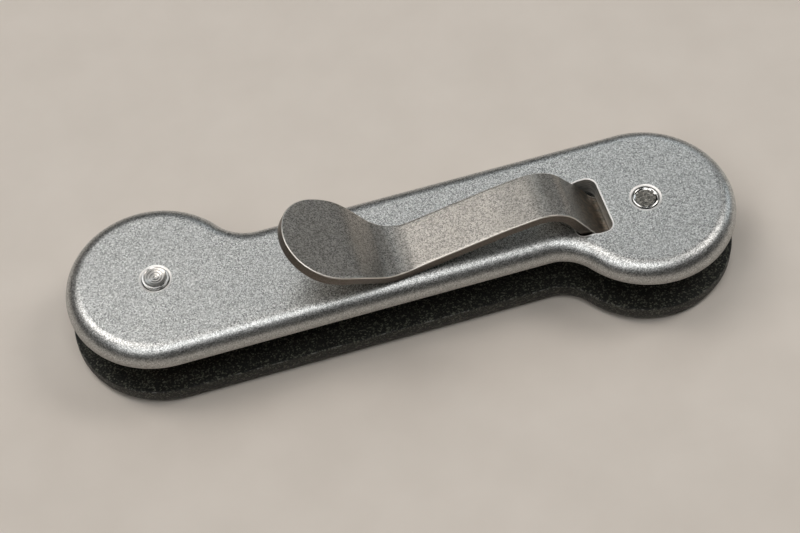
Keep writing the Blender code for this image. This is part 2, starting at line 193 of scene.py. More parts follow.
class Surface:
    """A material being built: a Principled shader and short ways to add nodes before it."""

    def __init__(self, name, metallic, roughness):
        self.material = bpy.data.materials.new(name)
        self.material.use_nodes = True
        self.tree = self.material.node_tree
        self.shader = self.tree.nodes["Principled BSDF"]
        self.shader.inputs["Metallic"].default_value = metallic
        self.shader.inputs["Roughness"].default_value = roughness
        self.place = self.node("ShaderNodeTexCoord").outputs["Object"]

    def node(self, kind, **settings):
        made = self.tree.nodes.new(kind)
        for key, value in settings.items():
            setattr(made, key, value)
        return made

    def plug(self, socket, value):
        if isinstance(value, bpy.types.NodeSocket):
            self.tree.links.new(value, socket)
        else:
            socket.default_value = value

    def math(self, operation, first, second=0.0):
        made = self.node("ShaderNodeMath", operation=operation)
        self.plug(made.inputs[0], first)
        self.plug(made.inputs[1], second)
        return made.outputs[0]

    def split(self, vector):
        made = self.node("ShaderNodeSeparateXYZ")
        self.plug(made.inputs[0], vector)
        return made.outputs

    def join(self, x, y, z):
        made = self.node("ShaderNodeCombineXYZ")
        for socket, value in zip(made.inputs, (x, y, z)):
            self.plug(socket, value)
        return made.outputs[0]

    def stretch(self, scale, turn=(0.0, 0.0, 0.0)):
        made = self.node("ShaderNodeMapping")
        self.plug(made.inputs["Vector"], self.place)
        made.inputs["Scale"].default_value = scale
        made.inputs["Rotation"].default_value = turn
        return made.outputs[0]

    def noise(self, size, detail=2.0, rough=0.5, place=None):
        """Noise whose features are about a given size in metres."""
        made = self.node("ShaderNodeTexNoise")
        self.plug(made.inputs["Vector"], place or self.place)
        made.inputs["Scale"].default_value = 1.0 / size
        made.inputs["Detail"].default_value = detail
        made.inputs["Roughness"].default_value = rough
        return made.outputs["Fac"]

    def grains(self, size):
        """A random tone for each grain of a given size, softened a little by finer noise."""
        made = self.node("ShaderNodeTexVoronoi")
        self.plug(made.inputs["Vector"], self.place)
        made.inputs["Scale"].default_value = 1.0 / size
        tone = self.split(made.outputs["Color"])[0]
        return self.math("ADD", self.math("MULTIPLY", tone, 0.6),
                         self.math("MULTIPLY", self.noise(1.6 * size, detail=1.0), 0.4))

    def levels(self, value, low, high, to_low=0.0, to_high=1.0):
        made = self.node("ShaderNodeMapRange")
        self.plug(made.inputs["Value"], value)
        for name, number in (("From Min", low), ("From Max", high),
                             ("To Min", to_low), ("To Max", to_high)):
            made.inputs[name].default_value = number
        return made.outputs["Result"]

    def blend(self, factor, first, second):
        made = self.node("ShaderNodeMix", data_type="RGBA")
        self.plug(made.inputs[0], factor)
        for socket, colour in ((made.inputs[6], first), (made.inputs[7], second)):
            if isinstance(colour, tuple):
                colour = (*colour, 1.0)
            self.plug(socket, colour)
        return made.outputs[2]

    def attribute(self, name):
        made = self.node("ShaderNodeAttribute", attribute_name=name)
        return made.outputs["Fac"]

    def bump(self, height, depth):
        """A bump of a given depth in metres, for a height that goes from 0 to 1."""
        made = self.node("ShaderNodeBump")
        made.inputs["Strength"].default_value = 1.0
        made.inputs["Distance"].default_value = depth
        self.plug(made.inputs["Height"], height)
        return made.outputs["Normal"]

    def done(self, colour, roughness=None, normal=None):
        self.plug(self.shader.inputs["Base Color"], colour)
        if roughness is not None:
            self.plug(self.shader.inputs["Roughness"], roughness)
        if normal is not None:
            self.plug(self.shader.inputs["Normal"], normal)
        return self.material


# ---- materials ----

BLASTED_GRAIN = 0.105 * MM
SPRING_GRAIN = 0.13 * MM
LAMINATE_GRIT = 0.17 * MM
TOW_WIDTH = 0.9 * MM
LAYER_PITCH = 0.33 * MM
LAYER_WANDER = 0.25 * MM
FIBRE_LENGTH = 0.4 * MM
TOOL_LINES = 0.5 * MM
MOUTH_START = 0.20 * MM
MOUTH_END = 0.10 * MM


def tumbled_aluminium():
    """Bead-blasted, then tumbled: a fine bright grain, smoothed on the rim, with painted shade low on
    it and a painted highlight along its lower edge.
    """
    s = Surface("tumbled_aluminium", metallic=1.0, roughness=0.4)
    grain = s.grains(BLASTED_GRAIN)
    mottle = s.noise(4.0 * MM, detail=4.0, rough=0.6)
    colour = s.blend(s.levels(grain, 0.2, 0.8), (0.20, 0.21, 0.21), (0.97, 0.985, 0.98))
    colour = s.blend(s.levels(mottle, 0.35, 0.65, 0.0, 0.15), colour, (0.50, 0.52, 0.53))
    facing = s.split(s.node("ShaderNodeNewGeometry").outputs["Normal"])[2]
    colour = s.blend(s.levels(facing, 0.5, 0.97, 0.32, 0.0), colour, (0.60, 0.615, 0.61))
    height = s.split(s.place)[2]
    # painted shade: the rim darker and browner over its lowest 1.7 mm
    painted_low_shade = s.levels(height, FRONT_LOW.z, FRONT_LOW.z + 1.7 * MM, 0.65, 0.0)
    colour = s.blend(painted_low_shade, colour, (0.16, 0.145, 0.13))
    # painted highlight: a thin bright line just above the plate's lower edge
    foot = s.levels(height, FRONT_LOW.z + 0.10 * MM, FRONT_LOW.z + 0.16 * MM, 0.6, 0.0)
    colour = s.blend(foot, colour, (0.85, 0.83, 0.80))
    roughness = s.levels(grain, 0.2, 0.8, 0.34, 0.44)
    return s.done(colour, roughness, s.bump(grain, 0.004 * MM))


def machined_aluminium():
    """Cut after blasting: tool lines round the cut, plainer inside, and a painted highlight bright at
    its mouth.
    """
    s = Surface("machined_aluminium", metallic=0.75, roughness=0.28)
    lines = s.noise(TOOL_LINES, detail=3.0, place=s.stretch((0.3, 0.3, 2.5)))
    colour = s.blend(s.levels(lines, 0.3, 0.7), (0.36, 0.37, 0.36), (0.90, 0.905, 0.88))
    height = s.split(s.place)[2]
    # painted highlight: the top of the cut, just under the plate's face, made brighter
    mouth = s.levels(height, FRONT_HIGH.z - MOUTH_START, FRONT_HIGH.z - MOUTH_END)
    colour = s.blend(mouth, colour, (0.97, 0.965, 0.95))
    roughness = s.math("ADD", s.levels(lines, 0.3, 0.7, 0.36, 0.48), s.math("MULTIPLY", mouth, 0.05))
    return s.done(colour, roughness, s.bump(lines, 0.012 * MM))


def black_laminate():
    """A layered black laminate: a fine weave on its faces, its layers as lines on its edge."""
    s = Surface("black_laminate", metallic=0.0, roughness=0.5)
    s.shader.inputs["Specular IOR Level"].default_value = 0.35
    x, y, z = s.split(s.place)
    across = s.math("FLOOR", s.math("DIVIDE", x, TOW_WIDTH))
    along = s.math("FLOOR", s.math("DIVIDE", y, TOW_WIDTH))
    warp_up = s.math("LESS_THAN", s.math("FLOORED_MODULO", s.math("ADD", across, along), 4.0), 1.5)
    warp_fibres = s.noise(FIBRE_LENGTH, detail=3.0, place=s.stretch((6.0, 0.6, 1.0)))
    weft_fibres = s.noise(FIBRE_LENGTH, detail=3.0, place=s.stretch((0.6, 6.0, 1.0)))
    choose = s.node("ShaderNodeMix", data_type="FLOAT")
    s.plug(choose.inputs[0], warp_up)
    s.plug(choose.inputs[2], weft_fibres)
    s.plug(choose.inputs[3], warp_fibres)
    fibres = choose.outputs[0]
    facing = s.split(s.node("ShaderNodeNewGeometry").outputs["Normal"])[2]
    on_face = s.math("GREATER_THAN", s.math("ABSOLUTE", facing), 0.9)
    wander = s.math("MULTIPLY", s.noise(7.0 * MM, detail=1.0), LAYER_WANDER)
    level = s.math("FRACT", s.math("DIVIDE", s.math("ADD", z, wander), LAYER_PITCH))
    layer = s.levels(s.math("ABSOLUTE", s.math("SUBTRACT", level, 0.5)), 0.30, 0.44)
    grit = s.grains(LAMINATE_GRIT)
    face_tone = s.levels(s.math("ADD", fibres, s.math("MULTIPLY", warp_up, 0.12)), 0.3, 0.75)
    face = s.blend(face_tone, (0.002, 0.0024, 0.002), (0.008, 0.0095, 0.0075))
    edge = s.blend(layer, (0.005, 0.0055, 0.0045), (0.030, 0.031, 0.026))
    colour = s.blend(on_face, edge, face)
    colour = s.blend(s.levels(grit, 0.60, 0.85, 0.0, 0.8), colour, (0.17, 0.18, 0.14))
    # painted highlight: lighter patches along the top edge of the rim
    corner = s.levels(s.math("ABSOLUTE", s.math("SUBTRACT", z, BACK_HIGH.z)), 0.0, 0.25 * MM, 1.0, 0.0)
    corner = s.math("MULTIPLY", corner, s.math("SUBTRACT", 1.0, on_face))
    painted_edge_glints = s.levels(s.noise(0.8 * MM, detail=3.0, rough=0.7), 0.50, 0.66, 0.0, 0.9)
    colour = s.blend(s.math("MULTIPLY", painted_edge_glints, corner), colour, (0.24, 0.245, 0.23))
    height = s.math("ADD", s.math("MULTIPLY", fibres, 0.5), grit)
    normal = s.bump(height, 0.04 * MM)
    roughness = s.levels(fibres, 0.3, 0.7, 0.42, 0.62)
    return s.done(colour, roughness, normal)


def tumbled_spring_metal():
    """Warm grey spring metal, stone-tumbled: edge wear and a painted highlight on its top edges,
    painted shade on its side walls, and painted shade, darker and browner, where it enters the slot.
    """
    s = Surface("tumbled_spring_metal", metallic=1.0, roughness=0.35)
    grain = s.grains(SPRING_GRAIN)
    scuffs = s.noise(0.9 * MM, detail=4.0, place=s.stretch((1.0, 2.2, 1.0), (0.0, 0.0, 0.5)))
    mottle = s.noise(3.0 * MM, detail=3.0)
    colour = s.blend(s.levels(grain, 0.2, 0.8), (0.18, 0.175, 0.165), (0.61, 0.585, 0.55))
    colour = s.blend(s.levels(mottle, 0.35, 0.7, 0.0, 0.3), colour, (0.33, 0.31, 0.27))
    colour = s.blend(s.levels(scuffs, 0.58, 0.72, 0.0, 0.15), colour, (0.52, 0.50, 0.46))
    x, _, z = s.split(s.place)
    # painted shade: darker and browner where the strip dips down into the slot
    low = s.levels(z, FRONT_HIGH.z - 1.0 * MM, FRONT_HIGH.z + 4.0 * MM, 0.66, 0.0)
    slot_shade = s.math("MULTIPLY", low, s.levels(x, 18.5 * MM, 21.0 * MM))
    # the colour of this painted shade, darker and browner
    stain = s.blend(s.levels(scuffs, 0.42, 0.62), (0.12, 0.11, 0.095), (0.34, 0.25, 0.18))
    colour = s.blend(slot_shade, colour, stain)
    # painted shade: the strip's side walls and lower edges darkened
    colour = s.blend(s.math("MULTIPLY", s.attribute("wall"), 0.85), colour, (0.085, 0.070, 0.057))
    # edge wear and a painted highlight: the rounded top edges made bright
    colour = s.blend(s.attribute("wear_and_highlight"), colour, (0.92, 0.89, 0.84))
    roughness = s.levels(grain, 0.2, 0.8, 0.31, 0.41)
    return s.done(colour, roughness, s.bump(grain, 0.003 * MM))


def turned_steel(name, tint, roughness):
    """Lathe-turned steel: fine rings about the piece's own axis."""
    s = Surface(name, metallic=1.0, roughness=roughness)
    x, y, z = s.split(s.place)
    radius = s.math("SQRT", s.math("ADD", s.math("MULTIPLY", x, x), s.math("MULTIPLY", y, y)))
    rings = s.noise(0.12 * MM, detail=2.0, place=s.join(radius, s.math("MULTIPLY", z, 2.0), 0.0))
    stain = s.noise(0.8 * MM, detail=3.0)
    dark = tuple(0.72 * part for part in tint)
    colour = s.blend(s.levels(rings, 0.3, 0.7), dark, tint)
    colour = s.blend(s.levels(stain, 0.45, 0.75, 0.0, 0.3), colour, (0.42, 0.38, 0.33))
    finish = s.levels(rings, 0.3, 0.7, roughness, roughness + 0.1)
    return s.done(colour, finish, s.bump(rings, 0.012 * MM))


def sawn_steel():
    """The screw's sawn end: dull, dark and rough."""
    s = Surface("sawn_steel", metallic=1.0, roughness=0.4)
    grain = s.grains(0.13 * MM)
    cuts = s.noise(0.25 * MM, detail=3.0, place=s.stretch((1.0, 3.0, 1.0), (0.0, 0.0, 0.6)))
    colour = s.blend(s.levels(grain, 0.2, 0.8), (0.06, 0.058, 0.052), (0.34, 0.33, 0.30))
    colour = s.blend(s.levels(cuts, 0.55, 0.7), colour, (0.62, 0.60, 0.56))
    height = s.math("ADD", cuts, s.math("MULTIPLY", grain, 0.5))
    return s.done(colour, s.levels(cuts, 0.3, 0.7, 0.45, 0.3), s.bump(height, 0.05 * MM))


def punched_copper():
    """Copper washers: punched from sheet, scuffed by the keys, tarnished in patches."""
    s = Surface("punched_copper", metallic=1.0, roughness=0.3)
    x, y, z = s.split(s.place)
    radius = s.math("SQRT", s.math("ADD", s.math("MULTIPLY", x, x), s.math("MULTIPLY", y, y)))
    scuffs = s.noise(0.15 * MM, detail=2.0, place=s.join(radius, z, 0.0))
    tarnish = s.noise(1.6 * MM, detail=4.0, rough=0.6)
    colour = s.blend(s.levels(scuffs, 0.3, 0.7), (0.66, 0.33, 0.20), (0.86, 0.50, 0.34))
    colour = s.blend(s.levels(tarnish, 0.48, 0.72, 0.0, 0.75), colour, (0.30, 0.15, 0.09))
    return s.done(colour, s.levels(tarnish, 0.4, 0.7, 0.26, 0.44), s.bump(scuffs, 0.01 * MM))


ALUMINIUM = tumbled_aluminium()
CUT_ALUMINIUM = machined_aluminium()
LAMINATE = black_laminate()
SPRING_METAL = tumbled_spring_metal()
STEEL = turned_steel("turned_steel", (0.72, 0.71, 0.69), 0.24)
BRIGHT_STEEL = turned_steel("bright_steel", (0.84, 0.845, 0.84), 0.12)
SAWN_STEEL = sawn_steel()
COPPER = punched_copper()


# ---- mesh helpers ----

def arc(centre, radius, start, end, steps):
    """Points on an arc, both ends included; angles in radians, either way round."""
    points = []
    for step in range(steps + 1):
        angle = start + (end - start) * step / steps
        points.append((centre[0] + radius * math.cos(angle), centre[1] + radius * math.sin(angle)))
    return points


def smooth_step(value, start, end):
    share = min(max((value - start) / (end - start), 0.0), 1.0)
    return share * share * (3.0 - 2.0 * share)


def inset(outline, distance):
    """An anticlockwise closed outline moved inwards, each corner along its mitre."""
    points = np.array(outline, float)
    before = points - np.roll(points, 1, axis=0)
    after = np.roll(points, -1, axis=0) - points
    before /= np.linalg.norm(before, axis=1, keepdims=True)
    after /= np.linalg.norm(after, axis=1, keepdims=True)
    left_before = np.stack((-before[:, 1], before[:, 0]), axis=1)
    left_after = np.stack((-after[:, 1], after[:, 0]), axis=1)
    spread = 1.0 + np.sum(left_before * left_after, axis=1, keepdims=True)
    return points + distance * (left_before + left_after) / spread


def make_object(name, vertices, faces, *materials):
    mesh = bpy.data.meshes.new(name)
    mesh.from_pydata([tuple(vertex) for vertex in vertices], [], faces)
    piece = bpy.data.objects.new(name, mesh)
    bpy.context.scene.collection.objects.link(piece)
    for material in materials:
        mesh.materials.append(material)
    return piece


def loft(name, outline, profile, *materials):
    """A solid with flat caps, whose rings are the outline inset and placed by the profile.

    The profile is a list of (inset, height), lowest first.
    """
    count = len(outline)
    vertices = []
    for distance, height in profile:
        vertices += [(x, y, height) for x, y in inset(outline, distance)]
    faces = [tuple(reversed(range(count)))]
    for level in range(len(profile) - 1):
        low = level * count
        for i in range(count):
            j = (i + 1) % count
            faces.append((low + i, low + j, low + count + j, low + count + i))
    top = (len(profile) - 1) * count
    faces.append(tuple(range(top, top + count)))
    return make_object(name, vertices, faces, *materials)


def rim_profile(bottom, top, low_radius, low_steps, high_radius, high_steps):
    """The edge of a plate: rounded below and above, upright between."""
    profile = []
    for x, z in arc((low_radius, bottom + low_radius), low_radius, 1.5 * math.pi, math.pi, low_steps):
        profile.append((x, z))
    for x, z in arc((high_radius, top - high_radius), high_radius, math.pi, 0.5 * math.pi,
                    high_steps):
        profile.append((x, z))
    return profile


def turned(name, profile, material):
    """A closed turned piece about its own Z. The profile is (radius, height), anticlockwise.

    A profile whose ends lie on the axis makes a solid; any other makes a ring.
    """
    rings = []
    vertices = []
    for radius, height in profile:
        if radius < WELD_DISTANCE:
            rings.append([len(vertices)])
            vertices.append((0.0, 0.0, height))
            continue
        rings.append(range(len(vertices), len(vertices) + TURN_STEPS))
        for x, y in arc((0.0, 0.0), radius, 0.0, 2.0 * math.pi, TURN_STEPS)[:-1]:
            vertices.append((x, y, height))
    closed = len(rings[0]) > 1
    faces = []
    pairs = list(zip(rings, rings[1:])) + ([(rings[-1], rings[0])] if closed else [])
    for low, high in pairs:
        for i in range(TURN_STEPS):
            j = (i + 1) % TURN_STEPS
            corners = [low[i % len(low)], low[j % len(low)], high[j % len(high)], high[i % len(high)]]
            faces.append(tuple(dict.fromkeys(corners)))
    return make_object(name, vertices, faces, material)


def threaded_rod(name, bottom, top, radius, depth, materials, tip=(), floor=None):
    """A rod with a real helical thread, about its own Z.

    Each tip ring is (radius, drop below the top, further drop over one turn, as the thread has).
    The floor is the height of the last face, as a function of its x and y; without one it is flat.
    """
    thread_top = top - max([drop + helix for _, drop, helix in tip], default=0.0)
    rows = max(2, round((thread_top - bottom) / THREAD_PITCH * THREAD_RISE_STEPS))
    turns = [step / THREAD_TURN_STEPS for step in range(THREAD_TURN_STEPS)]
    rings = []
    for row in range(rows + 1):
        height = bottom + (thread_top - bottom) * row / rows
        ring = []
        for turn in turns:
            phase = (height / THREAD_PITCH - turn) % 1.0
            ridge = min(1.0, max(0.0, THREAD_SLOPE * abs(phase - 0.5) - THREAD_FLAT))
            ring.append((radius - depth * ridge, turn, height))
        rings.append(ring)
    for reach, drop, helix in tip:
        rings.append([(reach, turn, top - drop - helix * ((turn - THREAD_START) % 1.0))
                      for turn in turns])
    body_rings = len(rings)
    if floor:
        reach, _, height = rings[-1][0]
        for ring in range(1, FLOOR_RINGS):
            share = 1.0 - ring / FLOOR_RINGS
            rings.append([(reach * share, turn, height) for turn in turns])
    vertices = []
    for index, ring in enumerate(rings):
        for reach, turn, height in ring:
            x = reach * math.cos(2.0 * math.pi * turn)
            y = reach * math.sin(2.0 * math.pi * turn)
            vertices.append((x, y, height + (floor(x, y) if index >= body_rings else 0.0)))
    faces = [tuple(reversed(range(THREAD_TURN_STEPS)))]
    for level in range(len(rings) - 1):
        low = level * THREAD_TURN_STEPS
        high = low + THREAD_TURN_STEPS
        for i in range(THREAD_TURN_STEPS):
            j = (i + 1) % THREAD_TURN_STEPS
            faces.append((low + i, low + j, high + j, high + i))
    faces.append(tuple(range(len(vertices) - THREAD_TURN_STEPS, len(vertices))))
    rod = make_object(name, vertices, faces, *materials)
    for face in rod.data.polygons[1 + (body_rings - 1) * THREAD_TURN_STEPS:]:
        face.material_index = len(materials) - 1
    return rod


def combine(piece, tool, operation):
    """Applies a Boolean with a tool, which is then removed."""
    modifier = piece.modifiers.new(operation.lower(), "BOOLEAN")
    modifier.operation = operation
    modifier.solver = "EXACT"
    modifier.material_mode = "TRANSFER"
    modifier.object = tool
    bpy.context.view_layer.update()
    mesh = bpy.data.meshes.new_from_object(piece.evaluated_get(bpy.context.evaluated_depsgraph_get()))
    piece.modifiers.remove(modifier)
    piece.data = mesh
    bpy.data.objects.remove(tool, do_unlink=True)


def finish(piece, body, slot, *nodes):
    """Smooth shading with sharp edges, and the piece's place in the frame."""
    piece.data.shade_smooth()
    piece.data.set_sharp_from_angle(angle=SHARP_ANGLE)
    weighted = piece.modifiers.new("flat faces lead", "WEIGHTED_NORMAL")
    weighted.keep_sharp = True
    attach(piece, body)
    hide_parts(*nodes)


# ---- plates ----

def bar_outline():
    """The plates' outline, anticlockwise: half of it, then the same turned half round."""
    reach = LOBE_RADIUS + FILLET_RADIUS
    rise = BAR_HALF_WIDTH + FILLET_RADIUS - LOBE_Y
    run = math.sqrt(reach ** 2 - rise ** 2)
    angle = math.atan2(rise, run)
    centre = (run - LOBE_X, BAR_HALF_WIDTH + FILLET_RADIUS)
    fillet = arc(centre, FILLET_RADIUS, 1.5 * math.pi, math.pi + angle, FILLET_STEPS)
    lobe = arc((-LOBE_X, LOBE_Y), LOBE_RADIUS, angle, 1.5 * math.pi, LOBE_STEPS)
    half = fillet + lobe[1:]
    return half + [(-x, -y) for x, y in half]


def slot_outline():
    """The clip's slot, anticlockwise from its far right corner."""
    corner = (SLOT_RIGHT - SLOT_CORNER, SLOT_HALF_WIDTH - SLOT_CORNER)
    far = arc(corner, SLOT_CORNER, 0.0, 0.5 * math.pi, CORNER_STEPS)
    for step in range(CORNER_STEPS + 1):
        x = SLOT_SHOULDER + (SLOT_NECK_END - SLOT_SHOULDER) * step / CORNER_STEPS
        rise = smooth_step(x, SLOT_NECK_END, SLOT_SHOULDER)
        far.append((x, SLOT_NECK_HALF_WIDTH + (SLOT_HALF_WIDTH - SLOT_NECK_HALF_WIDTH) * rise))
    corner = (SLOT_LEFT + SLOT_NECK_CORNER, SLOT_NECK_HALF_WIDTH - SLOT_NECK_CORNER)
    far += arc(corner, SLOT_NECK_CORNER, 0.5 * math.pi, math.pi, CORNER_STEPS)
    near = [(x, -y) for x, y in reversed(far)]
    return [(x, y + SLOT_Y) for x, y in far + near]


def slot_profile():
    """The slot's wall, with the fine steps a mill leaves, and its mouth, a shallow round."""
    levels = int((FRONT_HIGH.z - SLOT_EDGE_DEPTH - FRONT_LOW.z) / MILL_STEP)
    profile = [(0.0, FRONT_LOW.z - OVERSHOOT)]
    for level in range(2 * levels + 1):
        height = FRONT_LOW.z + MILL_STEP * level / 2
        profile.append((-MILL_DEPTH * (level % 2), height))
    for x, z in arc((0.0, 0.0), 1.0, 0.0, 0.5 * math.pi, 2 * SMALL_EDGE_STEPS):
        profile.append((SLOT_EDGE_WIDTH * (x - 1.0), FRONT_HIGH.z + SLOT_EDGE_DEPTH * (z - 1.0)))
    return profile + [(-SLOT_EDGE_WIDTH, FRONT_HIGH.z + OVERSHOOT)]


def make_front_plate():
    profile = rim_profile(FRONT_LOW.z, FRONT_HIGH.z, SMALL_EDGE, SMALL_EDGE_STEPS,
                          FRONT_EDGE_RADIUS, RIM_STEPS)
    plate = loft("front_plate_shell", bar_outline(), profile, ALUMINIUM)
    combine(plate, loft("slot_tool", slot_outline(), slot_profile(), CUT_ALUMINIUM), "DIFFERENCE")
    for place in POSTS.values():
        tap = threaded_rod("tap", FRONT_LOW.z - OVERSHOOT, FRONT_HIGH.z + OVERSHOOT,
                           SCREW_RADIUS + TAP_CLEARANCE, THREAD_DEPTH / 2, [CUT_ALUMINIUM])
        tap.location = place
        combine(plate, tap, "DIFFERENCE")
        sink = turned("sink", (
            (0.0, FRONT_HIGH.z - HOLE_SINK_DEPTH),
            (BORE_RADIUS, FRONT_HIGH.z - HOLE_SINK_DEPTH),
            (BORE_RADIUS, FRONT_HIGH.z - HOLE_CHAMFER_DEPTH),
            (HOLE_CHAMFER_RADIUS - HOLE_LIP_WIDTH, FRONT_HIGH.z - HOLE_LIP_DEPTH),
            (HOLE_CHAMFER_RADIUS, FRONT_HIGH.z),
            (HOLE_CHAMFER_RADIUS, FRONT_HIGH.z + OVERSHOOT),
            (0.0, FRONT_HIGH.z + OVERSHOOT),
        ), CUT_ALUMINIUM)
        sink.location = place
        combine(plate, sink, "DIFFERENCE")
    finish(plate, "frame", "aluminium", "front_plate")


def make_back_plate():
    profile = rim_profile(BACK_LOW.z, BACK_HIGH.z, BACK_EDGE_RADIUS, RIM_STEPS,
                          SMALL_EDGE, SMALL_EDGE_STEPS)
    plate = loft("back_plate_shell", bar_outline(), profile, LAMINATE)
    for word, place in POSTS.items():
        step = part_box(word + "_head_washer")[1].z
        floor = step + COUNTERBORE_GAP
        tool = turned("counterbore", (
            (0.0, BACK_LOW.z - OVERSHOOT),
            (COUNTERBORE_RADIUS, BACK_LOW.z - OVERSHOOT),
            (COUNTERBORE_RADIUS, floor),
            (BORE_RADIUS, floor),
            (BORE_RADIUS, BACK_HIGH.z + OVERSHOOT),
            (0.0, BACK_HIGH.z + OVERSHOOT),
        ), LAMINATE)
        tool.location = place
        combine(plate, tool, "DIFFERENCE")
    finish(plate, "frame", "laminate", "back_plate")


# ---- posts, washers and screws ----

def ring_profile(outer, inner, bottom, top, edge):
    """A ring's section, anticlockwise, with small rounded corners."""
    quarter = 0.5 * math.pi
    profile = []
    for x, z, start in ((outer - edge, bottom + edge, -quarter), (outer - edge, top - edge, 0.0),
                        (inner + edge, top - edge, quarter), (inner + edge, bottom + edge, math.pi)):
        profile += arc((x, z), edge, start, start + quarter, SMALL_EDGE_STEPS)
    return profile


def make_ring(node, body, slot, inner, edge, place, material):
    """A ring in place of a CAD ring, with its edges rounded."""
    low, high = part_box(node)
    outer = (high.x - low.x) / 2
    ring = turned(node + "_ring", ring_profile(outer, inner, low.z, high.z, edge), material)
    ring.location = (place.x, place.y, 0.0)
    finish(ring, body, slot, node)


GROOVE_PITCH = 0.36 * MM
GROOVE_DEPTH = 0.022 * MM
DIMPLE_RADIUS = 0.3 * MM
DIMPLE_DEPTH = 0.05 * MM
DISH_RADIUS = 1.4 * MM
DISH_DEPTH = 0.20 * MM
SAWN_LENGTH = 0.33 * MM
SAWN_DEPTH = 0.02 * MM
SAWN_SHIFT = 1.7
SAWN_FADE = 0.4
SAWN_WAVES = ((2.1, 0.7), (-1.3, 2.4), (3.7, 1.9), (0.6, -4.1))


def left_tip(x, y):
    """A faced end, slightly dished: one spiral tool groove, and a small dimple at its centre."""
    radius = math.hypot(x, y)
    turn = math.atan2(y, x) / (2.0 * math.pi)
    groove = 0.5 + 0.5 * math.cos(2.0 * math.pi * (radius / GROOVE_PITCH - turn))
    dimple = math.exp(-(radius / DIMPLE_RADIUS) ** 2)
    dish = 1.0 - (radius / DISH_RADIUS) ** 2
    return -GROOVE_DEPTH * groove - DIMPLE_DEPTH * dimple - DISH_DEPTH * dish


def right_tip(x, y):
    """A rough sawn end: a few crossing waves, each one weaker than the last."""
    rough = 0.0
    for index, (across, along) in enumerate(SAWN_WAVES):
        wave = math.sin((across * x + along * y) / SAWN_LENGTH + SAWN_SHIFT * index)
        rough += wave / (1.0 + SAWN_FADE * index)
    return SAWN_DEPTH * rough


# each tip ring: radius, drop below the top, further drop over one turn
LEFT_TIP = (
    (1.62 * MM, 0.22 * MM, 0.14 * MM),
    (1.42 * MM, 0.20 * MM, 0.14 * MM),
    (1.40 * MM, 0.04 * MM, 0.0),
    (1.37 * MM, 0.0, 0.0),
)
RIGHT_TIP = (
    (1.60 * MM, 0.10 * MM, 0.0),
    (1.56 * MM, 0.03 * MM, 0.0),
    (1.48 * MM, 0.0, 0.0),
    (1.40 * MM, 0.02 * MM, 0.0),
    (1.31 * MM, 0.10 * MM, 0.0),
    (1.24 * MM, 0.14 * MM, 0.0),
)


def make_screw(word, place, tip, floor, floor_material):
    """A socket-head screw: plain shank, real thread at its upper end."""
    node = word + "_screw"
    low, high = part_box(node)
    head_top = low.z + HEAD_THICKNESS
    thread_start = FRONT_LOW.z - THREAD_BELOW_PLATE
    thread_overlap = thread_start + THREAD_OVERLAP
    rod = threaded_rod(word + "_screw_body", thread_start, high.z, SCREW_RADIUS, THREAD_DEPTH,
                       [BRIGHT_STEEL, floor_material], tip, floor)
    edge = HEAD_LOW_EDGE
    root = SCREW_RADIUS - THREAD_DEPTH
    head = turned("head", (
        (0.0, low.z),
        (HEAD_RADIUS - edge, low.z),
        (HEAD_RADIUS - 0.3 * edge, low.z + 0.3 * edge),
        (HEAD_RADIUS, low.z + edge),
        (HEAD_RADIUS, head_top - HEAD_TOP_EDGE),
        (HEAD_RADIUS - HEAD_TOP_EDGE, head_top),
        (SCREW_RADIUS, head_top),
        (SCREW_RADIUS, thread_start - THREAD_RUNOUT),
        (root, thread_start),
        (root, thread_overlap),
        (0.0, thread_overlap),
    ), STEEL)
    combine(rod, head, "UNION")
    hexagon = arc((0.0, 0.0), SOCKET_RADIUS, SOCKET_TILT, SOCKET_TILT + 2.0 * math.pi, 6)[:-1]
    socket = loft("socket", hexagon, (
        (-SOCKET_CHAMFER, low.z - SOCKET_OVERSHOOT),
        (-SOCKET_CHAMFER, low.z),
        (0.0, low.z + SOCKET_CHAMFER),
        (0.0, low.z + SOCKET_DEPTH),
    ), STEEL)
    combine(rod, socket, "DIFFERENCE")
    rod.location = (place.x, place.y, 0.0)
    finish(rod, node, "steel", node)


# ---- clip ----

def clip_path():
    """Dense points of the strip's upper surface, with the direction there, bends as true arcs."""
    corners = [Vector((x, z)) for x, z, _ in CLIP_CORNERS]
    points = [corners[0]]
    for index in range(1, len(corners) - 1):
        before = (corners[index] - corners[index - 1]).normalized()
        after = (corners[index + 1] - corners[index]).normalized()
        radius = CLIP_CORNERS[index][2]
        bend = before.angle_signed(after)
        side = 1.0 if before.cross(after) > 0 else -1.0
        start = corners[index] - before * (radius * math.tan(abs(bend) / 2))
        centre = start + side * radius * Vector((-before.y, before.x))
        for step in range(BEND_STEPS + 1):
            turn = side * abs(bend) * step / BEND_STEPS
            points.append(centre + Matrix.Rotation(turn, 2) @ (start - centre))
    points.append(corners[-1])
    return np.array([tuple(point) for point in points])


PATH = clip_path()
PATH_STEPS = np.linalg.norm(np.diff(PATH, axis=0), axis=1)
PATH_LENGTH = np.concatenate(([0.0], np.cumsum(PATH_STEPS)))


def bent(length, across, depth):
    """Where a point of the flat strip lies once the strip is bent, in the frame's axes."""
    x = np.interp(length, PATH_LENGTH, PATH[:, 0])
    z = np.interp(length, PATH_LENGTH, PATH[:, 1])
    ahead = min(length + DIRECTION_REACH, PATH_LENGTH[-1])
    behind = max(length - DIRECTION_REACH, 0.0)
    way = Vector((
        np.interp(ahead, PATH_LENGTH, PATH[:, 0]) - np.interp(behind, PATH_LENGTH, PATH[:, 0]),
        np.interp(ahead, PATH_LENGTH, PATH[:, 1]) - np.interp(behind, PATH_LENGTH, PATH[:, 1]),
    )).normalized()
    x -= way.y * depth
    z += way.x * depth
    return CLIP_ORIGIN + CLIP_ALONG * x + CLIP_ACROSS * across + UP * z


def length_at(x):
    """Length along the strip, from the paddle's tip, at a distance along the clip."""
    return float(np.interp(x, PATH[:, 0], PATH_LENGTH))


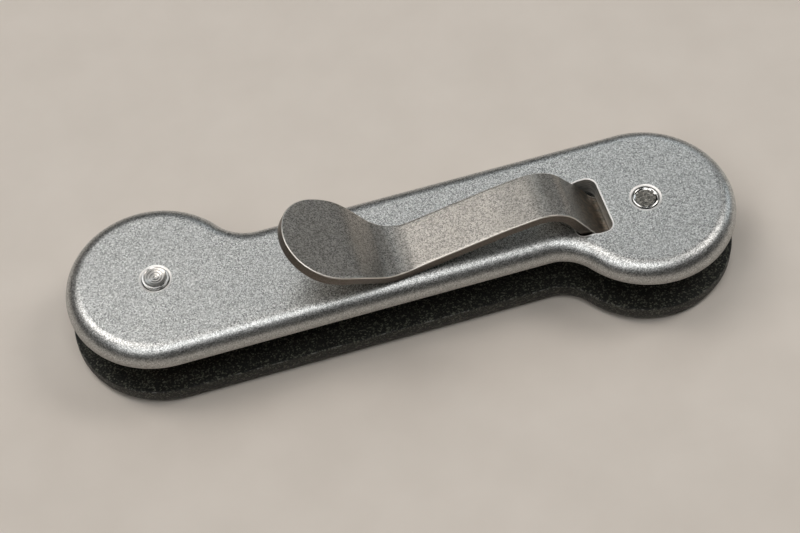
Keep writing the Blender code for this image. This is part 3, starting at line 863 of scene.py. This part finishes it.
def strip_edges(length, eye):
    """Far and near edge of the flat strip at a length: paddle, arm, foot, neck and eye."""
    if length < PADDLE_TIP_LENGTH:
        share = 1.0 - length / PADDLE_TIP_LENGTH
        half = PADDLE_HALF_WIDTH * math.sqrt(max(0.0, 1.0 - share * share))
        return half, -half
    half = PADDLE_HALF_WIDTH
    half += (CLIP_HALF_WIDTH - PADDLE_HALF_WIDTH) * smooth_step(length, *PADDLE_TAPER)
    half += CLIP_FLARE * smooth_step(length, *[length_at(x) for x in CLIP_FLARE_X])
    neck = smooth_step(length, *[length_at(x) for x in CLIP_NECK_X])
    half += (CLIP_NECK_HALF_WIDTH - half) * neck
    eye_length, eye_across = eye
    reach = CLIP_EYE_RADIUS ** 2 - (length - eye_length) ** 2
    if reach <= 0.0:
        return (half, -half) if length < eye_length else (eye_across, eye_across)
    rise = math.sqrt(reach)
    if length > eye_length:
        return eye_across + rise, eye_across - rise
    far = smooth_max(half, eye_across + rise)
    near = -smooth_max(half, rise - eye_across)
    return far, near


def smooth_max(first, second):
    overlap = max(CLIP_EYE_BLEND - abs(first - second), 0.0) / CLIP_EYE_BLEND
    return max(first, second) + overlap * overlap * CLIP_EYE_BLEND / 4.0


def strip_lengths(end):
    """Lengths of the strip's rows: closer together towards its two round ends."""
    spread = [1.0 - math.cos(0.5 * math.pi * i / CLIP_END_STEPS) for i in range(CLIP_END_STEPS + 1)]
    rows = [row / CLIP_ROWS * end for row in range(CLIP_ROWS + 1)]
    near_tip = [PADDLE_TIP_LENGTH * share for share in spread]
    near_end = [end - CLIP_EYE_RADIUS * share for share in spread]
    middle = [row for row in rows if PADDLE_TIP_LENGTH < row < end - CLIP_EYE_RADIUS]
    return near_tip + middle + near_end[::-1]


def make_clip():
    """The whole clip as one strip: a flat blank with rounded edges, bent along its path."""
    post = POSTS["right"] - CLIP_ORIGIN
    eye = (length_at(post.dot(CLIP_ALONG)), post.dot(CLIP_ACROSS))
    lengths = strip_lengths(eye[0] + CLIP_EYE_RADIUS)
    sides = [strip_edges(length, eye) for length in lengths]
    far = [(length, side[0]) for length, side in zip(lengths, sides)]
    near = [(length, side[1]) for length, side in zip(lengths, sides)]
    count = len(lengths)
    outline = near + far[-2:0:-1]
    edge = rim_profile(-CLIP_THICKNESS, 0.0, CLIP_EDGE, CLIP_EDGE_STEPS, CLIP_EDGE,
                       CLIP_EDGE_STEPS)
    vertices = []
    # marks for the strip's material: edge wear with a painted highlight, and painted shade on its
    # walls
    marks = {"wear_and_highlight": [], "wall": []}
    for index, (distance, depth) in enumerate(edge):
        for length, across in inset(outline, distance):
            vertices.append(bent(length, across, depth))
            # rounded top edge: edge wear and a painted highlight
            marks["wear_and_highlight"].append(float(CLIP_EDGE_STEPS + 1 < index < len(edge) - 1))
            # side wall and lower edge: painted shade
            marks["wall"].append(float(0 < index <= CLIP_EDGE_STEPS + 1))
    ring = len(outline)
    faces = []
    for level in range(len(edge) - 1):
        for i in range(ring):
            j = (i + 1) % ring
            low = level * ring
            faces.append((low + i, low + j, low + ring + j, low + ring + i))
    for level, flip in ((0, True), (len(edge) - 1, False)):
        distance, depth = edge[level]
        border = inset(outline, distance)
        before = [level * ring] * (CLIP_COLUMNS + 1)
        for row in range(1, count):
            far_index = (ring - row) % ring if row < count - 1 else row
            here = [level * ring + row]
            for column in range(1, CLIP_COLUMNS):
                if row == count - 1:
                    here.append(here[0])
                    continue
                share = column / CLIP_COLUMNS
                length, across = (1.0 - share) * border[row] + share * border[far_index]
                here.append(len(vertices))
                vertices.append(bent(length, across, depth))
                for values in marks.values():
                    values.append(0.0)
            here.append(level * ring + far_index)
            for column in range(CLIP_COLUMNS):
                corners = (before[column], here[column], here[column + 1], before[column + 1])
                corners = tuple(dict.fromkeys(corners))
                if len(corners) > 2:
                    faces.append(corners[::-1] if flip else corners)
            before = here
    clip = make_object("pocket_clip", vertices, faces, SPRING_METAL)
    for name, values in marks.items():
        attribute = clip.data.attributes.new(name, "FLOAT", "POINT")
        attribute.data.foreach_set("value", values)
    hole = turned("eye_tool", (
        (0.0, BACK_HIGH.z), (WASHER_BORE_RADIUS, BACK_HIGH.z),
        (WASHER_BORE_RADIUS, FRONT_HIGH.z), (0.0, FRONT_HIGH.z),
    ), SPRING_METAL)
    hole.location = (POSTS["right"].x, POSTS["right"].y, 0.0)
    combine(clip, hole, "DIFFERENCE")
    clip.data.shade_smooth()
    clip.data.set_sharp_from_angle(angle=SHARP_ANGLE)
    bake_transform(clip)
    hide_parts("clip_arm", "clip_tang")


make_front_plate()
make_back_plate()
for word, place in POSTS.items():
    make_ring(word + "_post", "frame", "steel", BORE_RADIUS, WASHER_EDGE, place, STEEL)
    head_washer = word + "_head_washer"
    make_ring(head_washer, head_washer, "steel", BORE_RADIUS, HEAD_WASHER_EDGE, place, STEEL)
    for body in sorted(frame["bodies"]):
        if body.startswith(word + "_spacer_washer"):
            make_ring(body, body, "copper", WASHER_BORE_RADIUS, WASHER_EDGE, place, COPPER)
make_screw("left", POSTS["left"], LEFT_TIP, left_tip, BRIGHT_STEEL)
make_screw("right", POSTS["right"], RIGHT_TIP, right_tip, SAWN_STEEL)
make_clip()


# ---- floor, light and camera ----

FLOOR_SIZE = 6.0
FLOOR_MOTTLE = 9.0 * MM
WORLD_STRENGTH = 0.05
CAMERA_ELEVATION = math.radians(55.735)
CAMERA_AZIMUTH = math.radians(13.210)
CAMERA_ROLL = math.radians(-4.202)
CAMERA_LENS = 93.06
SENSOR_WIDTH = 36.0
CLIP_START = 0.01
CAMERA_OFFSET = (-0.735 * MM, 2.62 * MM, 259.95 * MM)  # in the camera's own axes
CAMERA_RISE = 0.1 * MM
SOFTBOX_SIZE = 0.27
SOFTBOX_DISTANCE = 0.8
WARM = (1.0, 0.95, 0.90)
NEUTRAL = (1.0, 0.99, 0.97)
COOL = (0.90, 0.97, 1.0)
SOFTBOXES = (
    # name, azimuth, elevation, watts, colour
    ("overhead_near", 180, 72, 1.0, NEUTRAL),
    ("overhead_left", 300, 72, 0.7, WARM),
    ("back_left", 306, 54, 0.92, WARM),
    ("back", 342, 54, 0.30, NEUTRAL),
    ("back_right", 18, 54, 0.20, NEUTRAL),
    ("back_low", 30, 37, 0.26, COOL),
    ("right", 90, 54, 1.0, WARM),
    ("right_low", 75, 20, 0.34, COOL),
    ("corner_low", 45, 20, 0.10, NEUTRAL),
    ("left", 234, 54, 0.82, NEUTRAL),
)


def make_floor():
    s = Surface("pale_floor", metallic=0.0, roughness=0.7)
    tone = s.noise(FLOOR_MOTTLE, detail=3.0)
    colour = s.blend(s.levels(tone, 0.3, 0.7), (0.775, 0.715, 0.65), (0.815, 0.755, 0.69))
    material = s.done(colour)
    bpy.ops.mesh.primitive_plane_add(size=FLOOR_SIZE)
    floor = bpy.context.object
    floor.name = "floor"
    floor.data.materials.append(material)


def make_softbox(name, azimuth, elevation, power, colour):
    """A soft square light that faces the object; angles in degrees, azimuth clockwise from +Y."""
    lamp = bpy.data.lights.new(name, "AREA")
    lamp.shape = "SQUARE"
    lamp.size = SOFTBOX_SIZE
    lamp.energy = power
    lamp.color = colour
    light = bpy.data.objects.new(name, lamp)
    swing = Matrix.Rotation(-math.radians(azimuth), 3, "Z")
    turn = swing @ Matrix.Rotation(math.radians(elevation), 3, "X")
    light.location = turn @ Vector((0.0, SOFTBOX_DISTANCE, 0.0))
    light.rotation_euler = (-light.location).to_track_quat("-Z", "Y").to_euler()
    bpy.context.scene.collection.objects.link(light)


def make_studio():
    for softbox in SOFTBOXES:
        make_softbox(*softbox)
    world = bpy.data.worlds.new("studio")
    bpy.context.scene.world = world
    world.use_nodes = True
    world.node_tree.nodes["Background"].inputs["Strength"].default_value = WORLD_STRENGTH


def make_camera():
    """The camera, turned by azimuth, elevation and roll, then moved along its own axes."""
    tilt = 0.5 * math.pi - CAMERA_ELEVATION
    turn = (Matrix.Rotation(-CAMERA_AZIMUTH, 3, "Z") @ Matrix.Rotation(tilt, 3, "X")
            @ Matrix.Rotation(CAMERA_ROLL, 3, "Z"))
    lens = bpy.data.cameras.new("camera")
    lens.lens = CAMERA_LENS
    lens.sensor_width = SENSOR_WIDTH
    lens.clip_start = CLIP_START
    camera = bpy.data.objects.new("camera", lens)
    offset = turn @ Vector(CAMERA_OFFSET)
    camera.matrix_world = Matrix.Translation(offset + UP * CAMERA_RISE) @ turn.to_4x4()
    bpy.context.scene.collection.objects.link(camera)
    bpy.context.scene.camera = camera
    bpy.context.scene.view_settings.view_transform = "Standard"


make_floor()
make_studio()
make_camera()
